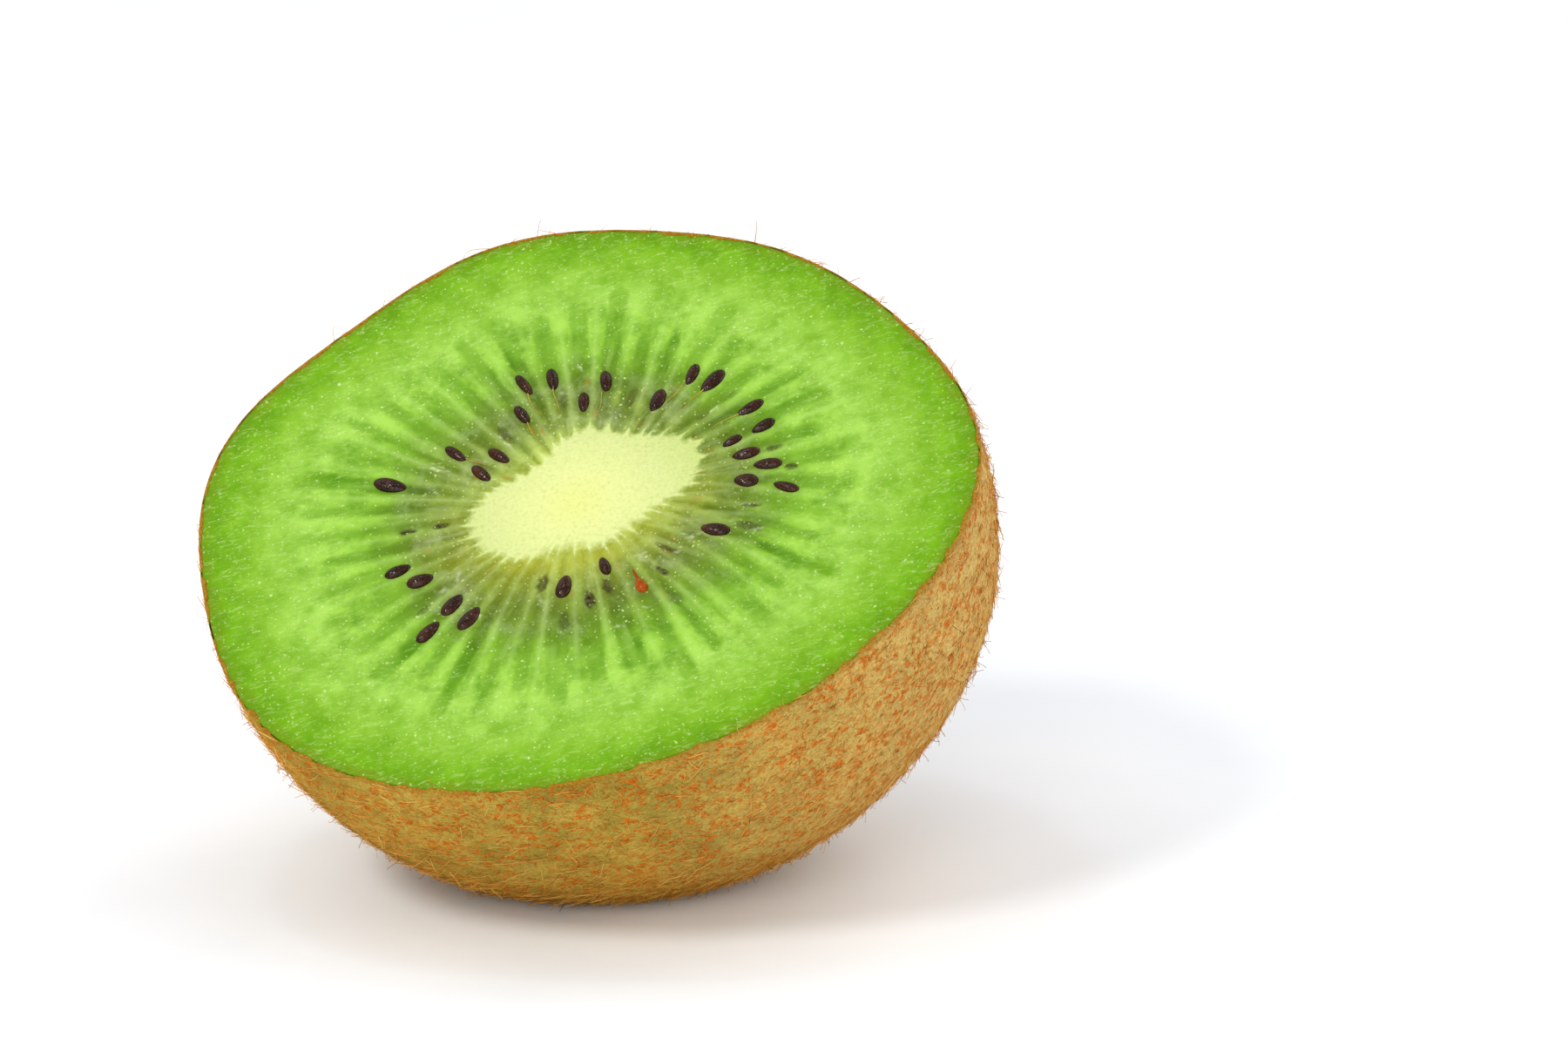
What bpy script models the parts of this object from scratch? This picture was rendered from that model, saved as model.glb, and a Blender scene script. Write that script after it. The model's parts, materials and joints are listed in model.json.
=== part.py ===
"""Half of a green kiwi fruit, cut across its middle, with the seeds that lie open in the cut face.

Frame: metres, +Z up. The origin is the middle of the small flat spot that the fruit rests on.
The cut face looks to the front (-Y) and leans back, and its long way rises a little toward +X.
"""
import math

import bmesh
import bpy
from mathutils import Euler, Vector

# The half fruit. The face is measured over the peel, along its long way and across it.
FACE_LENGTH = 0.0545
FACE_WIDTH = 0.0475
DEPTH = 0.030
BARREL = 2.5           # side profile: 2 is an ellipse, and more is fuller
END_SHIFT = 0.0022     # how far the blossom end lies off the middle, along the face's long way
# Low swellings round the fruit, which fade toward the blossom end: how many, their share of the
# radius at the cut, and the bearing of one in degrees
SWELLINGS = ((3, 0.020, -19), (4, 0.009, -20), (5, 0.008, 4), (6, 0.009, -23), (7, 0.008, -5))

# How it lies
LEAN = 35.4            # degrees that the face turns from level toward the front
RISE = 13.9            # degrees that the face's long way climbs toward +X
REST_DEPTH = 0.0014    # how much of the round bottom the flat spot takes away

# One seed, flat and narrower at the end that faces the core
SEED_LENGTH = 0.0021
SEED_WIDTH = 0.0012
SEED_THICKNESS = 0.0008
SEED_TAPER = 0.28      # share of the width lost toward the narrow end
SEED_SINK = 0.00015    # depth of a seed's middle below the cut
POCKET_GAP = 0.0003    # room between a seed and the flesh round it

# The seeds in the cut: bearing in degrees and distance in millimetres from the middle of the
# face, length and width as shares of a seed, and the turn in degrees from pointing at the core
SEEDS = (
    (3, 12.1, 0.95, 0.85, -3),
    (10, 11.5, 0.70, 0.60, 9),
    (11, 13.9, 0.85, 0.80, 9),
    (19, 13.8, 1.00, 0.80, 1),
    (35, 13.3, 1.10, 1.05, 3),
    (42, 12.9, 0.90, 0.75, 18),
    (46, 9.9, 0.95, 0.95, 12),
    (70, 10.6, 0.85, 0.75, 15),
    (78, 8.8, 0.80, 0.70, 2),
    (90, 11.3, 0.90, 0.75, 0),
    (100, 11.6, 1.00, 0.65, 12),
    (106, 9.2, 0.85, 0.70, 6),
    (129, 7.4, 0.90, 0.75, 0),
    (138, 10.2, 0.95, 0.70, -12),
    (143, 7.6, 0.90, 0.75, -20),
    (156, 13.6, 1.20, 1.05, -7),
    (189, 13.1, 0.90, 0.85, 3),
    (196, 12.0, 0.90, 1.00, -11),
    (212, 11.4, 0.95, 1.00, 9),
    (214, 14.0, 1.00, 0.90, 2),
    (221, 11.5, 1.05, 1.00, 0),
    (254, 7.1, 0.90, 1.00, -7),
    (280, 6.0, 0.70, 0.70, -3),
    (330, 10.3, 1.00, 0.95, 6),
    (348, 14.6, 0.90, 0.70, -22),
    (352, 11.8, 0.80, 1.05, -12),
    (357, 13.4, 0.95, 0.85, -8),
)

# The ovule that never became a seed, with its stalk toward the core
OVULE_BEARING = 291
OVULE_REACH = 0.0090
OVULE_TURN = -9
OVULE_LENGTH = 0.0015
OVULE_WIDTH = 0.00095
STALK_LENGTH = 0.0010
STALK_WIDTH = 0.00024

# Faces round the fruit and from the cut to the blossom end, and on a seed and a pocket
FRUIT_SIDES = 64
FRUIT_ROWS = 16
SEED_SIDES = 12
SEED_ROWS = 8
POCKET_SIDES = 10
POCKET_ROWS = 8
WELD = 1e-6            # points closer than this are one point


def clear_scene():
    """Remove every object that is in the scene at the start."""
    for old in list(bpy.data.objects):
        bpy.data.objects.remove(old, do_unlink=True)


def add_collection(name):
    """A new collection in the scene."""
    group = bpy.data.collections.new(name)
    bpy.context.scene.collection.children.link(group)
    return group


def add_material(name, colour, roughness):
    """A Principled material with one colour and one roughness; nothing on a fruit is metal."""
    material = bpy.data.materials.new(name)
    material.use_nodes = True
    shader = material.node_tree.nodes["Principled BSDF"]
    shader.inputs["Base Color"].default_value = (*colour, 1.0)
    shader.inputs["Roughness"].default_value = roughness
    shader.inputs["Metallic"].default_value = 0.0
    material.diffuse_color = (*colour, 1.0)
    return material


def add_object(name, bm, group, parent, material=None):
    """Turn a bmesh into a smooth-shaded object, a child of parent."""
    mesh = bpy.data.meshes.new(name)
    bm.to_mesh(mesh)
    bm.free()
    mesh.shade_smooth()
    mesh.set_sharp_from_angle(angle=math.radians(40))
    if material:
        mesh.materials.append(material)
    piece = bpy.data.objects.new(name, mesh)
    piece.parent = parent
    group.objects.link(piece)
    return piece


def outline(bearing, back):
    """Distance from the axis to the peel at a bearing, if the fruit didn't narrow; back is 0 to 1."""
    along = math.cos(bearing) * 2 / FACE_LENGTH
    across = math.sin(bearing) * 2 / FACE_WIDTH
    swell = sum(share * math.cos(count * (bearing - math.radians(peak)))
                for count, share, peak in SWELLINGS)
    return (1 + swell * (1 - back)) / math.hypot(along, across)


def skin_point(bearing, climb):
    """Point of the peel: climb is 0 at the cut and a quarter turn at the blossom end."""
    back = math.sin(climb) ** (2 / BARREL)
    reach = outline(bearing, back) * max(math.cos(climb), 0.0) ** (2 / BARREL)
    return Vector((reach * math.cos(bearing) + END_SHIFT * back,
                   reach * math.sin(bearing),
                   -DEPTH * back))


def trim_flat(bm, point, normal):
    """Cut away what lies past a plane, close the cut and give the middle of the new flat face."""
    everything = bm.verts[:] + bm.edges[:] + bm.faces[:]
    cut = bmesh.ops.bisect_plane(bm, geom=everything, dist=WELD, plane_co=point,
                                 plane_no=normal, clear_outer=True)
    rim = [item for item in cut["geom_cut"] if isinstance(item, bmesh.types.BMEdge)]
    flat = bmesh.ops.contextual_create(bm, geom=rim)["faces"][0]
    return flat.calc_center_median_weighted()


def fruit_shape(down):
    """The half fruit in its own axes, cut face at z = 0, and the middle of its rest spot."""
    bm = bmesh.new()
    bmesh.ops.create_uvsphere(bm, u_segments=FRUIT_SIDES, v_segments=2 * FRUIT_ROWS, radius=1.0)
    trim_flat(bm, Vector((0, 0, 0)), Vector((0, 0, 1)))
    for vert in bm.verts:
        bearing = math.atan2(vert.co.y, vert.co.x)
        climb = math.asin(min(max(-vert.co.z, 0.0), 1.0))
        vert.co = skin_point(bearing, climb)
    lowest = max(vert.co.dot(down) for vert in bm.verts)
    spot = trim_flat(bm, down * (lowest - REST_DEPTH), down)
    bmesh.ops.recalc_face_normals(bm, faces=bm.faces)
    return bm, spot


def seed_shape(length, width, thickness, sides, rows):
    """A seed about its own middle: long along x, narrow toward -x, flat across z."""
    bm = bmesh.new()
    bmesh.ops.create_uvsphere(bm, u_segments=sides, v_segments=rows, radius=0.5)
    for vert in bm.verts:
        # the sphere's poles go to the two tips, so that the rings run round the seed
        end, side, up = vert.co.z, vert.co.x, vert.co.y
        narrowing = 1 - SEED_TAPER * (0.5 - end)
        vert.co = Vector((end * length, side * width * narrowing, up * thickness * narrowing))
    return bm


def ovule_profile(gap):
    """Half outline of the ovule and its stalk, grown by gap all round, from its round end down."""
    stalk_top = -0.5 * OVULE_LENGTH
    half_stalk = 0.5 * STALK_WIDTH + gap
    return ((0.0, 0.5 * OVULE_LENGTH + gap),
            (0.38 * OVULE_WIDTH + gap, 0.3 * OVULE_LENGTH),
            (0.50 * OVULE_WIDTH + gap, 0.0),
            (0.30 * OVULE_WIDTH + gap, -0.3 * OVULE_LENGTH),
            (half_stalk, stalk_top),
            (half_stalk, stalk_top - STALK_LENGTH),
            (0.0, stalk_top - STALK_LENGTH - gap))


def add_turned(name, profile, sides, group, parent, material=None):
    """A solid turned about its own z axis from a profile of radius and height."""
    bm = bmesh.new()
    points = [bm.verts.new((radius, 0, height)) for radius, height in profile]
    for upper, lower in zip(points, points[1:]):
        bm.edges.new((upper, lower))
    piece = add_object(name, bm, group, parent, material)
    screw = piece.modifiers.new("turn", "SCREW")
    screw.steps = sides
    screw.render_steps = sides
    screw.use_merge_vertices = True
    screw.merge_threshold = WELD
    return piece


def place_in_face(piece, bearing, reach, turn=0.0):
    """Lay a piece in the cut, its length turned from the line that points at the core."""
    angle = math.radians(bearing)
    piece.location = (reach * math.cos(angle), reach * math.sin(angle), -SEED_SINK)
    piece.rotation_euler.z = math.radians(bearing + turn)


def add_seeds(group, cutters, parent):
    """Every seed, and the slightly larger shape that makes its pocket."""
    material = add_material("seed_coat", (0.030, 0.009, 0.006), 0.28)
    for number, (bearing, reach, long, wide, turn) in enumerate(SEEDS, start=1):
        size = (SEED_LENGTH * long, SEED_WIDTH * wide, SEED_THICKNESS)
        room = [extent + 2 * POCKET_GAP for extent in size]
        seed = add_object(f"seed_{number:02d}", seed_shape(*size, SEED_SIDES, SEED_ROWS),
                          group, parent, material)
        pocket = add_object(f"pocket_{number:02d}", seed_shape(*room, POCKET_SIDES, POCKET_ROWS),
                            cutters, parent)
        for piece in (seed, pocket):
            place_in_face(piece, bearing, reach / 1000, turn)


def add_ovule(group, cutters, parent):
    """The orange ovule and its pocket; both are turned solids laid along the face."""
    material = add_material("ovule_skin", (0.62, 0.10, 0.008), 0.35)
    ovule = add_turned("stray_ovule", ovule_profile(0.0), SEED_SIDES, group, parent, material)
    pocket = add_turned("pocket_ovule", ovule_profile(POCKET_GAP), POCKET_SIDES, cutters, parent)
    for piece in (ovule, pocket):
        place_in_face(piece, OVULE_BEARING, OVULE_REACH, OVULE_TURN)
        piece.rotation_euler.y = math.radians(90)


def add_fruit(group, cutters, axes):
    """Peel, flesh and core as one solid, tilted as it lies, with a pocket for every seed."""
    tilt = Euler((math.radians(LEAN), -math.radians(RISE), 0)).to_matrix()
    bm, spot = fruit_shape(tilt.transposed() @ Vector((0, 0, -1)))
    axes.rotation_euler = tilt.to_euler()
    axes.location = -(tilt @ spot)
    material = add_material("kiwi_flesh", (0.26, 0.47, 0.05), 0.35)
    fruit = add_object("kiwi_half", bm, group, axes, material)
    cut = fruit.modifiers.new("seed pockets", "BOOLEAN")
    cut.operation = "DIFFERENCE"
    cut.operand_type = "COLLECTION"
    cut.collection = cutters
    cut.solver = "EXACT"


def build():
    """The whole part."""
    clear_scene()
    group = add_collection("kiwi")
    cutters = add_collection("cutters")
    axes = bpy.data.objects.new("fruit_axes", None)
    group.objects.link(axes)
    add_fruit(group, cutters, axes)
    add_seeds(group, cutters, axes)
    add_ovule(group, cutters, axes)
    for cutter in cutters.objects:
        cutter.hide_render = True
        cutter.display_type = "WIRE"
    bpy.context.view_layer.update()


build()
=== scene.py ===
import json
import math

import bmesh
import bpy
import numpy as np
from mathutils import Matrix, Vector, noise
from mathutils.bvhtree import BVHTree

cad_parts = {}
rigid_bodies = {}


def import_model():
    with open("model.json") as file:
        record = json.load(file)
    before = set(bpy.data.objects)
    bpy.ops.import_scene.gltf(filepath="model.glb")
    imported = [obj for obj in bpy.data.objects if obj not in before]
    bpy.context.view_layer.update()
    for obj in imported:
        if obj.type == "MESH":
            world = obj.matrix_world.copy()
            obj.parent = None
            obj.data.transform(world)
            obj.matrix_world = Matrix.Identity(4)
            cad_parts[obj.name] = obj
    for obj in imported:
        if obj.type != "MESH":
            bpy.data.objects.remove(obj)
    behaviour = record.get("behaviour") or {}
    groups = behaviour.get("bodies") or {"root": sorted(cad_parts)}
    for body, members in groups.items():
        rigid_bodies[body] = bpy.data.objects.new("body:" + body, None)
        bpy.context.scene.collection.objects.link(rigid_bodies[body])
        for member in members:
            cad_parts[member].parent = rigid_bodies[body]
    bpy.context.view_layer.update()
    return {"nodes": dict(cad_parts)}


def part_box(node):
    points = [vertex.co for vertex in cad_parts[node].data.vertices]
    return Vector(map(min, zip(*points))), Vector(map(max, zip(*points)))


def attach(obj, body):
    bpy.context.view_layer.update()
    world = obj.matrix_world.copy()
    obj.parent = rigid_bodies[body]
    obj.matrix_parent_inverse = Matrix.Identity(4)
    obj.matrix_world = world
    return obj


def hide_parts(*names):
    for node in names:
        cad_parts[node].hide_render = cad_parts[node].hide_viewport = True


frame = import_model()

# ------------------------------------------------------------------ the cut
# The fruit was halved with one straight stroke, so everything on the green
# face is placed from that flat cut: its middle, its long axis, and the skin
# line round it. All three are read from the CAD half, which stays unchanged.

MM = 0.001

SKIN_COLUMNS = 512  # round the fruit
SKIN_ROWS = 150  # from the cut down to the far end
FACET_BLUR = 2.4  # degrees, enough to lose the CAD's flat facets
BEYOND = 0.06  # metres, a ray's start outside the skin
JUST_UNDER = math.radians(0.02)


def merged_copy(node):
    """A bmesh of a CAD node with its loose triangles joined."""
    copy = bmesh.new()
    copy.from_mesh(frame["nodes"][node].data)
    bmesh.ops.remove_doubles(copy, verts=copy.verts, dist=1e-6)
    return copy


cad_half = merged_copy("kiwi_half")
cad_skin = BVHTree.FromBMesh(cad_half)
flats = {}
for face in cad_half.faces:
    facing = tuple(round(part, 2) for part in face.normal)
    flats.setdefault(facing, []).append(face)
cut_faces = max(flats.values(), key=lambda faces: sum(f.calc_area() for f in faces))
cut_normal = sum((f.normal * f.calc_area() for f in cut_faces), Vector()).normalized()
along = Vector((0, 1, 0)).cross(cut_normal).normalized()
across = cut_normal.cross(along)
cut_middle = sum((f.calc_center_median() for f in cut_faces), Vector()) / len(cut_faces)
cad_half.free()


def heading(bearing, down):
    """The way out from the middle of the cut, at a bearing round it and an angle down from it."""
    level = along * math.cos(bearing) + across * math.sin(bearing)
    return level * math.cos(down) - cut_normal * math.sin(down)


def skin_distance(middle, bearing, down):
    way = heading(bearing, down)
    hit = cad_skin.ray_cast(middle + way * BEYOND, -way)[0]
    return (hit - middle).length


turns = np.linspace(0, 2 * math.pi, SKIN_COLUMNS, endpoint=False)
reach = np.array([skin_distance(cut_middle, t, JUST_UNDER) for t in turns])
outline_x, outline_y = reach * np.cos(turns), reach * np.sin(turns)
wedge = outline_x * np.roll(outline_y, -1) - np.roll(outline_x, -1) * outline_y
cut_middle = (
    cut_middle
    + along * float((outline_x + np.roll(outline_x, -1)) @ wedge / (3 * wedge.sum()))
    + across * float((outline_y + np.roll(outline_y, -1)) @ wedge / (3 * wedge.sum()))
)

downs = np.linspace(JUST_UNDER, math.pi / 2, SKIN_ROWS)
skin = np.array([[skin_distance(cut_middle, t, d) for t in turns] for d in downs])


def soften(grid, blur):
    """Blurs distances round the fruit and down it, across the far end and mirrored at the cut."""
    waves = np.fft.rfftfreq(SKIN_COLUMNS, 1 / SKIN_COLUMNS)
    keep = np.exp(-0.5 * (waves * math.radians(blur)) ** 2)
    grid = np.fft.irfft(np.fft.rfft(grid, axis=1) * keep, SKIN_COLUMNS, axis=1)
    spread = blur / 90 * (SKIN_ROWS - 1)
    half = int(3 * spread)
    weights = np.exp(-0.5 * (np.arange(-half, half + 1) / spread) ** 2)
    weights /= weights.sum()
    over = np.roll(grid[-half - 1 : -1][::-1], SKIN_COLUMNS // 2, axis=1)
    above = 2 * grid[0] - grid[1 : half + 1][::-1]
    tall = np.vstack([above, grid, over])
    return sum(w * tall[i : i + SKIN_ROWS] for i, w in enumerate(weights))


skin = soften(skin, FACET_BLUR)


def rim_reach(bearings):
    """Distance from the middle of the cut to the skin, in metres."""
    return np.interp(bearings, turns, skin[0], period=2 * math.pi)


# --------------------------------------------------------------- the studio
# A white paper sweep in a white room. The key light is high on the front left,
# with broad soft lamps in front, at the right and behind, and a small one above
# for sparkle. The camera is a long lens, looking a little down on the fruit.

CAMERA_AZIMUTH = math.radians(-2.1)
CAMERA_ELEVATION = math.radians(16)
CAMERA_DISTANCE = 458.5 * MM
CAMERA_LENS = 153.7  # mm on a 36 mm sensor
AIM_RIGHT = 14.18 * MM  # past the middle of the cut
AIM_DOWN = 1.36 * MM
PAPER_SIZE = 3.0  # metres
PULP_GRAIN = 50 / 3  # mm
SKY_STRENGTH = 0.70


def per(size):
    """A texture's scale for features this many millimetres apart."""
    return 1 / (size * MM)


def linear(colour):
    """An sRGB hex colour as the linear values a shader takes."""
    parts = [int(colour[i : i + 2], 16) / 255 for i in (1, 3, 5)]
    return [p / 12.92 if p <= 0.04045 else ((p + 0.055) / 1.055) ** 2.4 for p in parts] + [1.0]


def shown(made):
    """The first of a node's outputs that is in use."""
    return next(output for output in made.outputs if output.enabled)


def node(tree, kind, inputs=(), stops=(), **settings):
    """Adds a node with its settings and ramp stops, and sets its inputs or links them to nodes."""
    made = tree.nodes.new(kind)
    for name, value in settings.items():
        setattr(made, name, value)
    if stops:
        ramp = made.color_ramp.elements
        ramp.remove(ramp[1])
        ramp[0].position = stops[0][0]
        for place, _ in stops[1:]:
            ramp.new(place)
        for stop, (_, colour) in zip(ramp, stops):
            stop.color = linear(colour) if isinstance(colour, str) else [colour] * 3 + [1.0]
    for key, value in dict(inputs).items():
        if isinstance(value, bpy.types.Node):
            value = shown(value)
        if isinstance(value, bpy.types.NodeSocket):
            tree.links.new(value, made.inputs[key])
        else:
            made.inputs[key].default_value = value
    return made


def material_for(name, **surface):
    """A new material and its node tree, with the surface's constants set on the shader itself."""
    made = bpy.data.materials.new(name)
    made.use_nodes = True
    shader = made.node_tree.nodes["Principled BSDF"]
    for socket, value in surface.items():
        shader.inputs[socket.replace("_", " ")].default_value = value
    return made, made.node_tree, shader


right = Vector((math.cos(CAMERA_AZIMUTH), math.sin(CAMERA_AZIMUTH), 0))
back = Vector(
    (
        math.sin(CAMERA_AZIMUTH) * math.cos(CAMERA_ELEVATION),
        -math.cos(CAMERA_AZIMUTH) * math.cos(CAMERA_ELEVATION),
        math.sin(CAMERA_ELEVATION),
    )
)
aim = cut_middle + right * AIM_RIGHT - back.cross(right) * AIM_DOWN
camera = bpy.data.objects.new("camera", bpy.data.cameras.new("camera"))
camera.data.lens = CAMERA_LENS
camera.data.clip_start, camera.data.clip_end = 0.01, 10
camera.rotation_mode = "QUATERNION"
camera.location = aim + back * CAMERA_DISTANCE
camera.rotation_quaternion = back.to_track_quat("Z", "Y")
bpy.context.scene.collection.objects.link(camera)
bpy.context.scene.camera = camera
bpy.context.scene.view_settings.view_transform = "Standard"

sky = bpy.data.worlds.new("white_room")
bpy.context.scene.world = sky
sky.use_nodes = True
sky.node_tree.nodes["Background"].inputs["Color"].default_value = linear("#fbfcff")
sky.node_tree.nodes["Background"].inputs["Strength"].default_value = SKY_STRENGTH

# name, place, size in metres, watts, colour
LAMPS = (
    ("key_left", (-0.45, -0.42, 0.62), 0.20, 2.6, "#fffdf8"),
    ("front", (-0.20, -0.80, 0.34), 0.60, 2.2, "#fffdf8"),
    ("right", (0.72, -0.16, 0.30), 0.45, 1.1, "#fffaf0"),
    ("back_right", (0.48, 0.34, 0.62), 0.60, 1.2, "#fffdf8"),
    ("back_left", (-0.50, 0.26, 0.66), 0.60, 0.6, "#fffdf8"),
    ("glint_above", (-0.16, 0.00, 0.70), 0.10, 0.25, "#ffffff"),
)
for name, place, size, watts, colour in LAMPS:
    lamp = bpy.data.objects.new(name, bpy.data.lights.new(name, "AREA"))
    lamp.data.shape = "DISK"
    lamp.data.size = size
    lamp.data.energy = watts
    lamp.data.color = linear(colour)[:3]
    lamp.location = place
    lamp.rotation_mode = "QUATERNION"
    lamp.rotation_quaternion = (lamp.location - cut_middle).to_track_quat("Z", "Y")
    bpy.context.scene.collection.objects.link(lamp)

# White paper: matt, faintly warm, with the slow shade of its pulp.
paper, tree, shader = material_for("matt_white_paper", Roughness=0.9)
place = node(tree, "ShaderNodeTexCoord").outputs["Object"]
pulp = node(tree, "ShaderNodeTexNoise", {"Vector": place, "Scale": per(PULP_GRAIN), "Detail": 3.0})
tint = node(tree, "ShaderNodeValToRGB", {"Fac": pulp}, stops=((0.3, "#f2f6fb"), (0.7, "#f7fafe")))
tree.links.new(shown(tint), shader.inputs["Base Color"])

half = PAPER_SIZE / 2
floor_corners = [(-half, -half, 0), (half, -half, 0), (half, half, 0), (-half, half, 0)]
floor_mesh = bpy.data.meshes.new("paper_sweep")
floor_mesh.from_pydata(floor_corners, [], [(0, 1, 2, 3)])
floor = bpy.data.objects.new("paper_sweep", floor_mesh)
floor.data.materials.append(paper)
bpy.context.scene.collection.objects.link(floor)

# ---------------------------------------------------------------- the flesh
# The cut face: a pale solid core, about forty seed chambers round it in a
# starburst with thin pale walls between, and firmer green flesh out to the
# skin. Grown in one piece, wet with juice, and sliced with a smooth knife.

BEARINGS = 672
PEEL_THICKNESS = 0.14 * MM

# The core is a lopsided oval: its middle and half-lengths in mm, its tilt,
# and its lumps as (how many round, share of its reach, bearing of a peak).
CORE_MIDDLE = (0.95, 0.9)
CORE_HALF = (7.6, 4.5)
CORE_TILT = 10.6
CORE_LUMPS = ((3, 0.043, -43), (4, 0.102, 2))

# It has one corner on the low side: its bearing, share of the reach, and width in degrees.
CORE_CORNER = (219, 0.17, 17)

# The pale walls between chambers, in degrees round the face: each one's
# bearing out in the flesh, and the bearing where it meets the core.
WALLS = (
    (0.8, 0.2), (8.8, 8.0), (17.6, 16.4), (25.2, 24.0), (33.6, 31.6), (42.0, 36.8),
    (51.6, 40.2), (58.8, 48.8), (66.8, 61.6), (76.4, 73.2), (86.0, 82.8), (96.0, 91.8),
    (105.2, 98.0), (113.4, 109.6), (121.6, 122.4), (128.8, 135.2), (136.8, 146.0),
    (144.0, 151.0), (152.0, 155.6), (161.2, 161.4), (168.4, 167.4), (175.6, 176.8),
    (183.2, 185.4), (192.0, 191.4), (200.8, 198.6), (209.6, 204.4), (218.8, 210.4),
    (226.8, 216.6), (235.2, 224.4), (242.4, 236.0), (250.8, 243.2), (261.6, 258.8),
    (271.2, 273.0), (282.8, 287.4), (292.0, 299.0), (300.0, 305.0), (304.8, 313.6),
    (313.6, 329.2), (321.2, 335.6), (328.8, 341.2), (335.6, 348.2), (342.8, 355.0),
    (351.6, 358.6),
)
WALL_BEND = 1.7
WALL_END = 0.74  # share of the way to the skin

RUST_SPECKS = 22
FILM_DARKNESS = 1.35
DIMPLE = 1.0  # mm, the reach of the dip round a seed

# Seeds that lie deeper, seen through a film of flesh: bearing in degrees,
# reach, length and width in mm, and how dark they show.
DEEP_SEEDS = (
    (118.5, 8.4, 1.9, 0.7, 0.45), (87.0, 9.1, 1.5, 0.7, 0.35), (57.0, 9.4, 1.6, 0.8, 0.35),
    (26.0, 10.8, 1.5, 0.5, 0.35), (26.6, 13.4, 1.4, 0.5, 0.25), (2.2, 14.1, 1.2, 0.5, 0.6),
    (354.4, 14.9, 1.1, 0.6, 0.7), (341.6, 12.3, 1.45, 0.4, 0.6), (333.6, 12.5, 2.3, 0.8, 0.55),
    (313.2, 7.9, 1.95, 0.5, 0.55), (302.3, 9.0, 1.35, 0.5, 0.8), (277.0, 7.8, 1.6, 0.8, 0.6),
    (267.3, 8.4, 1.95, 0.75, 0.8), (256.0, 10.0, 1.6, 0.7, 0.4), (241.5, 7.0, 1.7, 0.8, 0.6),
    (207.0, 13.1, 1.4, 0.5, 0.45), (174.6, 11.9, 1.5, 0.45, 0.7), (174.7, 9.5, 1.2, 0.5, 0.75),
)

# Marks where juice stands on the face and shines, painted into the colour as pale
# painted highlights and also raised and smoother: bearing in degrees, reach,
# length and width in mm, turn from the outward line, and brightness.
WET_MARKS_AND_PAINTED_HIGHLIGHTS = (
    (147.5, 11.0, 2.4, 0.16, 4, 0.9), (145.0, 11.3, 1.3, 0.12, 24, 0.8), (146.3, 10.3, 1.2, 0.14, -20, 0.7),
    (156.5, 10.4, 1.7, 0.16, -38, 0.8), (204.5, 11.2, 0.9, 0.5, 20, 0.45), (202.0, 9.7, 1.3, 0.25, 60, 0.6),
    (325.0, 9.1, 1.9, 0.35, 40, 0.75), (322.5, 8.6, 1.0, 0.25, -30, 0.8), (313.0, 8.6, 0.9, 0.25, 70, 0.5),
    (301.0, 7.0, 1.1, 0.6, 0, 0.35), (276.0, 11.4, 0.9, 0.22, 80, 0.6), (287.0, 10.6, 0.8, 0.2, 70, 0.4),
    (80.0, 11.7, 0.7, 0.28, 60, 0.8), (26.0, 11.7, 1.1, 0.3, 8, 0.8), (121.0, 8.0, 2.1, 0.16, 0, 0.6),
    (87.0, 9.8, 0.8, 0.3, 70, 0.5), (223.5, 11.0, 0.8, 0.25, 80, 0.7), (136.5, 8.3, 1.2, 0.18, 10, 0.55),
    (255.0, 10.9, 0.8, 0.3, 70, 0.4), (342.0, 12.0, 1.4, 0.2, 0, 0.4), (333.0, 13.2, 0.9, 0.2, 20, 0.4),
    (48.5, 8.9, 0.8, 0.16, 60, 0.5), (243.0, 8.3, 0.9, 0.25, 60, 0.4), (197.0, 11.0, 0.9, 0.16, 70, 0.6),
)


def cloud(x, y, grain, seed):
    """A smooth random field from -1 to 1, with lumps of the given size."""
    lattice = np.random.default_rng(seed).uniform(-1, 1, (64, 64))
    u, v = x / grain, y / grain
    i, j = np.floor(u).astype(int), np.floor(v).astype(int)
    u, v = u - i, v - j
    u, v = u * u * (3 - 2 * u), v * v * (3 - 2 * v)
    low = lattice[i % 64, j % 64] * (1 - u) + lattice[(i + 1) % 64, j % 64] * u
    high = lattice[i % 64, (j + 1) % 64] * (1 - u) + lattice[(i + 1) % 64, (j + 1) % 64] * u
    return low * (1 - v) + high * v


def step(low, high, value):
    """0 below low, 1 above high, and an easy curve between."""
    part = np.clip((value - low) / (high - low), 0, 1)
    return part * part * (3 - 2 * part)


def past_core(x, y):
    """Distance outside the core's edge in mm, negative inside it."""
    x, y = x - CORE_MIDDLE[0], y - CORE_MIDDLE[1]
    bearing = np.arctan2(y, x)
    long_way, short_way = CORE_HALF
    level, steep = np.cos(bearing - math.radians(CORE_TILT)), np.sin(bearing - math.radians(CORE_TILT))
    lumps = sum(part * np.cos(count * (bearing - math.radians(peak))) for count, part, peak in CORE_LUMPS)
    edge = (1 + lumps) / np.hypot(level / long_way, steep / short_way)
    corner, part, width = CORE_CORNER
    off_corner = (bearing - math.radians(corner) + math.pi) % (2 * math.pi) - math.pi
    edge = edge * (1 + part * np.exp(-((off_corner / math.radians(width)) ** 2)))
    from_middle = np.hypot(x, y)
    squeeze = np.hypot(level * short_way, steep * long_way) / long_way
    return (from_middle - edge) * (0.55 + 0.45 * squeeze)


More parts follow.
